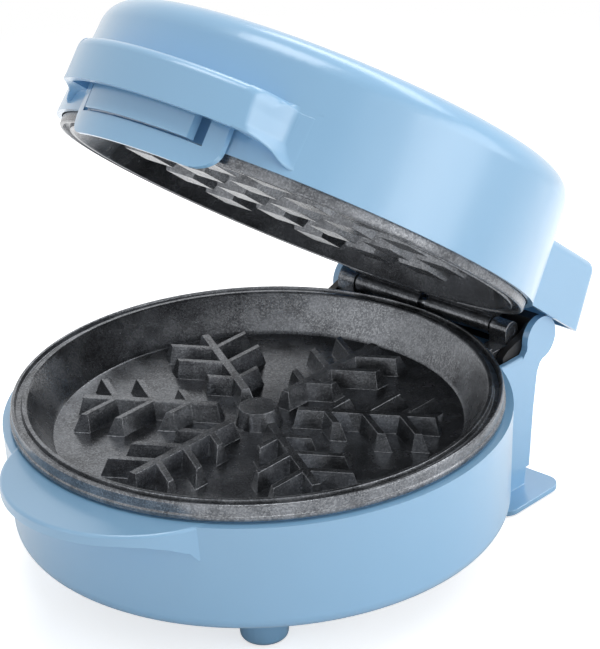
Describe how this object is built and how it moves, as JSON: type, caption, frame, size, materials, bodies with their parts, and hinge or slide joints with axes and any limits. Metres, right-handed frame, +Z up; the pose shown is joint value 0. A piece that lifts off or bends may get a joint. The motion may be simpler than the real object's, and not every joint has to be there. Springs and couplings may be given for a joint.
{
  "type": "mini waffle maker",
  "caption": "Round tabletop waffle maker with a hinged lid, snowflake and waffle-grid cooking plates, a curved front handle and a swinging latch clip.",
  "frame": {"origin": "middle of the footprint with the lid open, at the table the feet rest on", "axes": "+Z up, -Y to the front handle, +Y to the hinge, +X to the object's right side"},
  "size_m": [0.127, 0.1694, 0.148],
  "materials": {
    "blue_plastic": "gloss",
    "black_rubber": "matte",
    "nonstick_aluminium": "matte non-stick coating",
    "heater_steel": "satin",
    "aluminised_steel": "satin",
    "black_phenolic": "matte",
    "fuse_sleeve": "matte",
    "white_nylon": "matte",
    "zinc_steel": "zinc",
    "amber_lens": "gloss",
    "lamp_glass": "gloss"
  },
  "bodies": {
    "base": {"base_housing": "blue_plastic", "bottom_cover": "blue_plastic", "foot_pads": "black_rubber", "lower_plate": "nonstick_aluminium", "lower_heater": "heater_steel", "lower_reflector": "aluminised_steel", "thermostat": "black_phenolic", "thermal_fuse": "fuse_sleeve", "terminal_block": "white_nylon", "cord_gland": "black_rubber", "hinge_shroud": "black_phenolic", "hinge_pin": "zinc_steel", "cover_screws": "zinc_steel", "lower_plate_screws": "zinc_steel", "lower_reflector_screws": "zinc_steel"},
    "lid": {"lid_housing": "blue_plastic", "upper_plate": "nonstick_aluminium", "upper_heater": "heater_steel", "upper_reflector": "aluminised_steel", "indicator_lens": "amber_lens", "neon_lamp": "lamp_glass", "latch_pin": "zinc_steel", "upper_plate_screws": "zinc_steel", "upper_reflector_screws": "zinc_steel"},
    "latch": {"latch_clip": "blue_plastic"}
  },
  "joints": [
    {"name": "lid_hinge", "type": "hinge", "parent": "base", "child": "lid", "pos_m": [0, 0.05736, 0.0446], "axis": [-1, 0, 0], "range_deg": [-37.6, 60]},
    {"name": "latch_hinge", "type": "hinge", "parent": "lid", "child": "latch", "pos_m": [0, -0.03553, 0.13368], "axis": [-1, 0, 0], "range_deg": [0, 16]}
  ]
}
